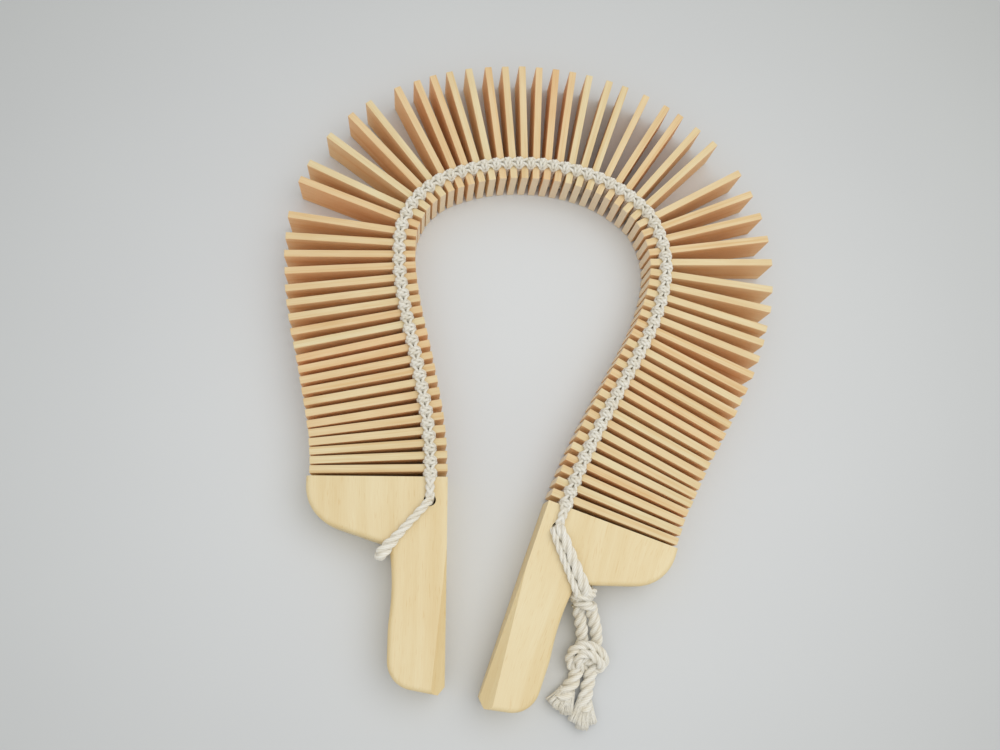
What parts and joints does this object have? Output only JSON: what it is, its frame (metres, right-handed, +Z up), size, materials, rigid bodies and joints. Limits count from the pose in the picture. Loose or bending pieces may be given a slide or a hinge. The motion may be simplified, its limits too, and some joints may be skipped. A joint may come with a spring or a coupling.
{
  "type": "laced wooden slat clapper",
  "caption": "String of upright wooden slats laced side by side with cotton cord, a shaped wooden handle at each end, for clapping in a wave.",
  "frame": {"origin": "middle of the clapper's plan, on the surface it lies on", "axes": "+Z up through the slats' depth, +Y towards the crown of the horseshoe, +X towards the right-hand arm"},
  "size_m": [0.347, 0.4555, 0.0347],
  "materials": {
    "slat_wood": "planed, unvarnished",
    "handle_wood": "sanded, unvarnished",
    "cotton_cord": "twisted cotton"
  },
  "bodies": {
    "slats_01_02": {"slats_01_02": "slat_wood"},
    "slats_03_04": {"slats_03_04": "slat_wood"},
    "slats_05_06": {"slats_05_06": "slat_wood"},
    "slats_07_08": {"slats_07_08": "slat_wood"},
    "slats_09_10": {"slats_09_10": "slat_wood"},
    "slats_11_12": {"slats_11_12": "slat_wood"},
    "slats_13_14": {"slats_13_14": "slat_wood"},
    "slats_15_16": {"slats_15_16": "slat_wood"},
    "slats_17_18": {"slats_17_18": "slat_wood"},
    "slats_19_20": {"slats_19_20": "slat_wood"},
    "slat_21": {"slat_21": "slat_wood"},
    "slat_22": {"slat_22": "slat_wood"},
    "slat_23": {"slat_23": "slat_wood"},
    "slat_24": {"slat_24": "slat_wood"},
    "slat_25": {"slat_25": "slat_wood"},
    "slat_26": {"slat_26": "slat_wood"},
    "slat_27": {"slat_27": "slat_wood"},
    "slat_28": {"slat_28": "slat_wood"},
    "slat_29": {"slat_29": "slat_wood"},
    "slat_30": {"slat_30": "slat_wood"},
    "slat_31": {"slat_31": "slat_wood"},
    "slat_32": {"slat_32": "slat_wood"},
    "slat_33": {"slat_33": "slat_wood"},
    "slat_34": {"slat_34": "slat_wood"},
    "slat_35": {"slat_35": "slat_wood"},
    "slat_36": {"slat_36": "slat_wood", "lacing": "cotton_cord"},
    "slat_37": {"slat_37": "slat_wood"},
    "slat_38": {"slat_38": "slat_wood"},
    "slat_39": {"slat_39": "slat_wood"},
    "slat_40": {"slat_40": "slat_wood"},
    "slat_41": {"slat_41": "slat_wood"},
    "slat_42": {"slat_42": "slat_wood"},
    "slat_43": {"slat_43": "slat_wood"},
    "slat_44": {"slat_44": "slat_wood"},
    "slat_45": {"slat_45": "slat_wood"},
    "slat_46": {"slat_46": "slat_wood"},
    "slat_47": {"slat_47": "slat_wood"},
    "slat_48": {"slat_48": "slat_wood"},
    "slat_49": {"slat_49": "slat_wood"},
    "slat_50": {"slat_50": "slat_wood"},
    "slats_51_52": {"slats_51_52": "slat_wood"},
    "slats_53_54": {"slats_53_54": "slat_wood"},
    "slats_55_56": {"slats_55_56": "slat_wood"},
    "slats_57_58": {"slats_57_58": "slat_wood"},
    "slats_59_60": {"slats_59_60": "slat_wood"},
    "slats_61_62": {"slats_61_62": "slat_wood"},
    "slats_63_64": {"slats_63_64": "slat_wood"},
    "slats_65_66": {"slats_65_66": "slat_wood"},
    "slats_67_68": {"slats_67_68": "slat_wood"},
    "slats_69_70": {"slats_69_70": "slat_wood"},
    "slats_71_72": {"slats_71_72": "slat_wood"},
    "handle_left": {"handle_left": "handle_wood", "tie_left": "cotton_cord"},
    "handle_right": {"handle_right": "handle_wood", "tie_right": "cotton_cord", "tail_knot_upper": "cotton_cord", "tail_knot_lower": "cotton_cord", "tail_left": "cotton_cord", "tail_right": "cotton_cord"}
  },
  "joints": [
    {"name": "left_crown_fold", "type": "hinge", "parent": "slat_22", "child": "slat_21", "pos_m": [-0.09401, 0.09658, 0], "axis": [0, 0, -1], "range_deg": [0, 16.38], "deforming": ["lacing"]},
    {"name": "hinge_35_36", "type": "hinge", "parent": "slat_36", "child": "slat_35", "pos_m": [0.00535, 0.149, 0], "axis": [0, 0, -1], "range_deg": [0, 5.46]},
    {"name": "hinge_34_35", "type": "hinge", "parent": "slat_35", "child": "slat_34", "pos_m": [-0.00316, 0.14918, 0], "axis": [0, 0, -1], "range_deg": [0, 5.46]},
    {"name": "hinge_33_34", "type": "hinge", "parent": "slat_34", "child": "slat_33", "pos_m": [-0.01168, 0.14889, 0], "axis": [0, 0, -1], "range_deg": [0, 5.46]},
    {"name": "hinge_32_33", "type": "hinge", "parent": "slat_33", "child": "slat_32", "pos_m": [-0.02016, 0.14815, 0], "axis": [0, 0, -1], "range_deg": [0, 5.46]},
    {"name": "hinge_31_32", "type": "hinge", "parent": "slat_32", "child": "slat_31", "pos_m": [-0.02864, 0.14694, 0], "axis": [0, 0, -1], "range_deg": [0, 6.82]},
    {"name": "hinge_30_31", "type": "hinge", "parent": "slat_31", "child": "slat_30", "pos_m": [-0.03704, 0.14508, 0], "axis": [0, 0, -1], "range_deg": [0, 6.82]},
    {"name": "hinge_29_30", "type": "hinge", "parent": "slat_30", "child": "slat_29", "pos_m": [-0.04523, 0.14259, 0], "axis": [0, 0, -1], "range_deg": [0, 5.35]},
    {"name": "hinge_28_29", "type": "hinge", "parent": "slat_29", "child": "slat_28", "pos_m": [-0.05323, 0.1397, 0], "axis": [0, 0, -1], "range_deg": [0, 5.35]},
    {"name": "hinge_27_28", "type": "hinge", "parent": "slat_28", "child": "slat_27", "pos_m": [-0.06114, 0.13636, 0], "axis": [0, 0, -1], "range_deg": [0, 7.35]},
    {"name": "hinge_26_27", "type": "hinge", "parent": "slat_27", "child": "slat_26", "pos_m": [-0.06897, 0.13223, 0], "axis": [0, 0, -1], "range_deg": [0, 13.76]},
    {"name": "hinge_25_26", "type": "hinge", "parent": "slat_26", "child": "slat_25", "pos_m": [-0.07589, 0.12666, 0], "axis": [0, 0, -1], "range_deg": [0, 8.09]},
    {"name": "hinge_24_25", "type": "hinge", "parent": "slat_25", "child": "slat_24", "pos_m": [-0.08221, 0.12048, 0], "axis": [0, 0, -1], "range_deg": [0, 12.61]},
    {"name": "hinge_23_24", "type": "hinge", "parent": "slat_24", "child": "slat_23", "pos_m": [-0.0875, 0.11311, 0], "axis": [0, 0, -1], "range_deg": [0, 15.02]},
    {"name": "hinge_22_23", "type": "hinge", "parent": "slat_23", "child": "slat_22", "pos_m": [-0.09104, 0.10498, 0], "axis": [0, 0, -1], "range_deg": [0, 6.4]},
    {"name": "left_arm_fold", "type": "hinge", "parent": "slat_21", "child": "slats_19_20", "pos_m": [-0.09495, 0.08767, 0], "axis": [0, 0, -1], "range_deg": [0, 7.76], "deforming": ["lacing"]},
    {"name": "hinge_18_19", "type": "hinge", "parent": "slats_19_20", "child": "slats_17_18", "pos_m": [-0.09467, 0.07056, 0], "axis": [0, 0, -1], "range_deg": [0, 5.35]},
    {"name": "hinge_16_17", "type": "hinge", "parent": "slats_17_18", "child": "slats_15_16", "pos_m": [-0.09257, 0.05372, 0], "axis": [0, 0, -1], "range_deg": [0, 3.78]},
    {"name": "hinge_14_15", "type": "hinge", "parent": "slats_15_16", "child": "slats_13_14", "pos_m": [-0.08941, 0.03721, 0], "axis": [0, 0, -1], "range_deg": [0, 3.78]},
    {"name": "hinge_12_13", "type": "hinge", "parent": "slats_13_14", "child": "slats_11_12", "pos_m": [-0.08549, 0.02093, 0], "axis": [0, 0, -1], "range_deg": [0, 3.15]},
    {"name": "hinge_10_11", "type": "hinge", "parent": "slats_11_12", "child": "slats_09_10", "pos_m": [-0.08128, 0.00478, 0], "axis": [0, 0, -1], "range_deg": [0, 1.63]},
    {"name": "hinge_08_09", "type": "hinge", "parent": "slats_09_10", "child": "slats_07_08", "pos_m": [-0.07741, -0.01145, 0], "axis": [0, 0, -1], "range_deg": [0, 1.63]},
    {"name": "hinge_06_07", "type": "hinge", "parent": "slats_07_08", "child": "slats_05_06", "pos_m": [-0.07389, -0.02776, 0], "axis": [0, 0, -1], "range_deg": [0, 1.63]},
    {"name": "hinge_04_05", "type": "hinge", "parent": "slats_05_06", "child": "slats_03_04", "pos_m": [-0.07085, -0.04429, 0], "axis": [0, 0, -1], "range_deg": [0, 0.491]},
    {"name": "hinge_02_03", "type": "hinge", "parent": "slats_03_04", "child": "slats_01_02", "pos_m": [-0.06886, -0.06102, 0], "axis": [0, 0, -1], "range_deg": [0, 0.491]},
    {"name": "hinge_handle_left_01", "type": "hinge", "parent": "slats_01_02", "child": "handle_left", "pos_m": [-0.06792, -0.07783, 0], "axis": [0, 0, -1], "range_deg": [0, 0.965]},
    {"name": "right_crown_fold", "type": "hinge", "parent": "slat_45", "child": "slat_46", "pos_m": [0.08273, 0.11591, 0], "axis": [0, 0, 1], "range_deg": [0, 17.43], "deforming": ["lacing"]},
    {"name": "hinge_36_37", "type": "hinge", "parent": "slat_36", "child": "slat_37", "pos_m": [0.01384, 0.14836, 0], "axis": [0, 0, 1], "range_deg": [0, 5.46]},
    {"name": "hinge_37_38", "type": "hinge", "parent": "slat_37", "child": "slat_38", "pos_m": [0.02229, 0.14726, 0], "axis": [0, 0, 1], "range_deg": [0, 5.46]},
    {"name": "hinge_38_39", "type": "hinge", "parent": "slat_38", "child": "slat_39", "pos_m": [0.03073, 0.1457, 0], "axis": [0, 0, 1], "range_deg": [0, 7.56]},
    {"name": "hinge_39_40", "type": "hinge", "parent": "slat_39", "child": "slat_40", "pos_m": [0.039, 0.14339, 0], "axis": [0, 0, 1], "range_deg": [0, 5.25]},
    {"name": "hinge_40_41", "type": "hinge", "parent": "slat_40", "child": "slat_41", "pos_m": [0.04717, 0.14066, 0], "axis": [0, 0, 1], "range_deg": [0, 8.71]},
    {"name": "hinge_41_42", "type": "hinge", "parent": "slat_41", "child": "slat_42", "pos_m": [0.0551, 0.13701, 0], "axis": [0, 0, 1], "range_deg": [0, 8.71]},
    {"name": "hinge_42_43", "type": "hinge", "parent": "slat_42", "child": "slat_43", "pos_m": [0.0625, 0.13258, 0], "axis": [0, 0, 1], "range_deg": [0, 5.14]},
    {"name": "hinge_43_44", "type": "hinge", "parent": "slat_43", "child": "slat_44", "pos_m": [0.06965, 0.12781, 0], "axis": [0, 0, 1], "range_deg": [0, 8.19]},
    {"name": "hinge_44_45", "type": "hinge", "parent": "slat_44", "child": "slat_45", "pos_m": [0.07637, 0.12229, 0], "axis": [0, 0, 1], "range_deg": [0, 8.19]},
    {"name": "hinge_46_47", "type": "hinge", "parent": "slat_46", "child": "slat_47", "pos_m": [0.08731, 0.10811, 0], "axis": [0, 0, 1], "range_deg": [0, 9.45]},
    {"name": "hinge_47_48", "type": "hinge", "parent": "slat_47", "child": "slat_48", "pos_m": [0.09081, 0.10005, 0], "axis": [0, 0, 1], "range_deg": [0, 9.45]},
    {"name": "hinge_48_49", "type": "hinge", "parent": "slat_48", "child": "slat_49", "pos_m": [0.09332, 0.09163, 0], "axis": [0, 0, 1], "range_deg": [0, 9.45]},
    {"name": "hinge_49_50", "type": "hinge", "parent": "slat_49", "child": "slat_50", "pos_m": [0.0948, 0.08298, 0], "axis": [0, 0, 1], "range_deg": [0, 9.45]},
    {"name": "right_arm_fold", "type": "hinge", "parent": "slat_50", "child": "slats_51_52", "pos_m": [0.09523, 0.07414, 0], "axis": [0, 0, 1], "range_deg": [0, 11.44], "deforming": ["lacing"]},
    {"name": "hinge_52_53", "type": "hinge", "parent": "slats_51_52", "child": "slats_53_54", "pos_m": [0.0927, 0.05693, 0], "axis": [0, 0, 1], "range_deg": [0, 7.24]},
    {"name": "hinge_54_55", "type": "hinge", "parent": "slats_53_54", "child": "slats_55_56", "pos_m": [0.08789, 0.04063, 0], "axis": [0, 0, 1], "range_deg": [0, 5.46]},
    {"name": "hinge_56_57", "type": "hinge", "parent": "slats_55_56", "child": "slats_57_58", "pos_m": [0.08152, 0.02483, 0], "axis": [0, 0, 1], "range_deg": [0, 5.46]},
    {"name": "hinge_58_59", "type": "hinge", "parent": "slats_57_58", "child": "slats_59_60", "pos_m": [0.07393, 0.00988, 0], "axis": [0, 0, 1], "range_deg": [0, 2.83]},
    {"name": "hinge_60_61", "type": "hinge", "parent": "slats_59_60", "child": "slats_61_62", "pos_m": [0.06607, -0.00484, 0], "axis": [0, 0, 1], "range_deg": [0, 2.83]},
    {"name": "hinge_62_63", "type": "hinge", "parent": "slats_61_62", "child": "slats_63_64", "pos_m": [0.05804, -0.01943, 0], "axis": [0, 0, 1], "range_deg": [0, 1.91]},
    {"name": "hinge_64_65", "type": "hinge", "parent": "slats_63_64", "child": "slats_65_66", "pos_m": [0.05016, -0.03408, 0], "axis": [0, 0, 1], "range_deg": [0, 1.91]},
    {"name": "hinge_66_67", "type": "hinge", "parent": "slats_65_66", "child": "slats_67_68", "pos_m": [0.04242, -0.04885, 0], "axis": [0, 0, 1], "range_deg": [0, 1.06]},
    {"name": "hinge_68_69", "type": "hinge", "parent": "slats_67_68", "child": "slats_69_70", "pos_m": [0.03515, -0.06396, 0], "axis": [0, 0, 1], "range_deg": [0, 1.06]},
    {"name": "hinge_70_71", "type": "hinge", "parent": "slats_69_70", "child": "slats_71_72", "pos_m": [0.02852, -0.07936, 0], "axis": [0, 0, 1], "range_deg": [0, 1.06]},
    {"name": "hinge_72_handle_right", "type": "hinge", "parent": "slats_71_72", "child": "handle_right", "pos_m": [0.02254, -0.09503, 0], "axis": [0, 0, 1], "range_deg": [0, 0.965]}
  ],
  "couplings": [
    {"joint": "hinge_35_36", "follows": "left_crown_fold", "ratio": 0.3325},
    {"joint": "hinge_34_35", "follows": "left_crown_fold", "ratio": 0.3325},
    {"joint": "hinge_33_34", "follows": "left_crown_fold", "ratio": 0.3325},
    {"joint": "hinge_32_33", "follows": "left_crown_fold", "ratio": 0.3325},
    {"joint": "hinge_31_32", "follows": "left_crown_fold", "ratio": 0.416},
    {"joint": "hinge_30_31", "follows": "left_crown_fold", "ratio": 0.416},
    {"joint": "hinge_29_30", "follows": "left_crown_fold", "ratio": 0.3261},
    {"joint": "hinge_28_29", "follows": "left_crown_fold", "ratio": 0.3261},
    {"joint": "hinge_27_28", "follows": "left_crown_fold", "ratio": 0.448},
    {"joint": "hinge_26_27", "follows": "left_crown_fold", "ratio": 0.8395},
    {"joint": "hinge_25_26", "follows": "left_crown_fold", "ratio": 0.493},
    {"joint": "hinge_24_25", "follows": "left_crown_fold", "ratio": 0.7689},
    {"joint": "hinge_23_24", "follows": "left_crown_fold", "ratio": 0.9165},
    {"joint": "hinge_22_23", "follows": "left_crown_fold", "ratio": 0.3903},
    {"joint": "hinge_18_19", "follows": "left_arm_fold", "ratio": 0.6884},
    {"joint": "hinge_16_17", "follows": "left_arm_fold", "ratio": 0.4853},
    {"joint": "hinge_14_15", "follows": "left_arm_fold", "ratio": 0.4853},
    {"joint": "hinge_12_13", "follows": "left_arm_fold", "ratio": 0.404},
    {"joint": "hinge_10_11", "follows": "left_arm_fold", "ratio": 0.2087},
    {"joint": "hinge_08_09", "follows": "left_arm_fold", "ratio": 0.2087},
    {"joint": "hinge_06_07", "follows": "left_arm_fold", "ratio": 0.2087},
    {"joint": "hinge_04_05", "follows": "left_arm_fold", "ratio": 0.062},
    {"joint": "hinge_02_03", "follows": "left_arm_fold", "ratio": 0.062},
    {"joint": "hinge_handle_left_01", "follows": "left_arm_fold", "ratio": 0.1231},
    {"joint": "hinge_36_37", "follows": "right_crown_fold", "ratio": 0.3125},
    {"joint": "hinge_37_38", "follows": "right_crown_fold", "ratio": 0.3125},
    {"joint": "hinge_38_39", "follows": "right_crown_fold", "ratio": 0.4331},
    {"joint": "hinge_39_40", "follows": "right_crown_fold", "ratio": 0.3004},
    {"joint": "hinge_40_41", "follows": "right_crown_fold", "ratio": 0.4994},
    {"joint": "hinge_41_42", "follows": "right_crown_fold", "ratio": 0.4994},
    {"joint": "hinge_42_43", "follows": "right_crown_fold", "ratio": 0.2944},
    {"joint": "hinge_43_44", "follows": "right_crown_fold", "ratio": 0.4693},
    {"joint": "hinge_44_45", "follows": "right_crown_fold", "ratio": 0.4693},
    {"joint": "hinge_46_47", "follows": "right_crown_fold", "ratio": 0.5416},
    {"joint": "hinge_47_48", "follows": "right_crown_fold", "ratio": 0.5416},
    {"joint": "hinge_48_49", "follows": "right_crown_fold", "ratio": 0.5416},
    {"joint": "hinge_49_50", "follows": "right_crown_fold", "ratio": 0.5416},
    {"joint": "hinge_52_53", "follows": "right_arm_fold", "ratio": 0.6323},
    {"joint": "hinge_54_55", "follows": "right_arm_fold", "ratio": 0.4761},
    {"joint": "hinge_56_57", "follows": "right_arm_fold", "ratio": 0.4761},
    {"joint": "hinge_58_59", "follows": "right_arm_fold", "ratio": 0.2465},
    {"joint": "hinge_60_61", "follows": "right_arm_fold", "ratio": 0.2465},
    {"joint": "hinge_62_63", "follows": "right_arm_fold", "ratio": 0.1664},
    {"joint": "hinge_64_65", "follows": "right_arm_fold", "ratio": 0.1664},
    {"joint": "hinge_66_67", "follows": "right_arm_fold", "ratio": 0.0918},
    {"joint": "hinge_68_69", "follows": "right_arm_fold", "ratio": 0.0918},
    {"joint": "hinge_70_71", "follows": "right_arm_fold", "ratio": 0.0918},
    {"joint": "hinge_72_handle_right", "follows": "right_arm_fold", "ratio": 0.0835}
  ]
}
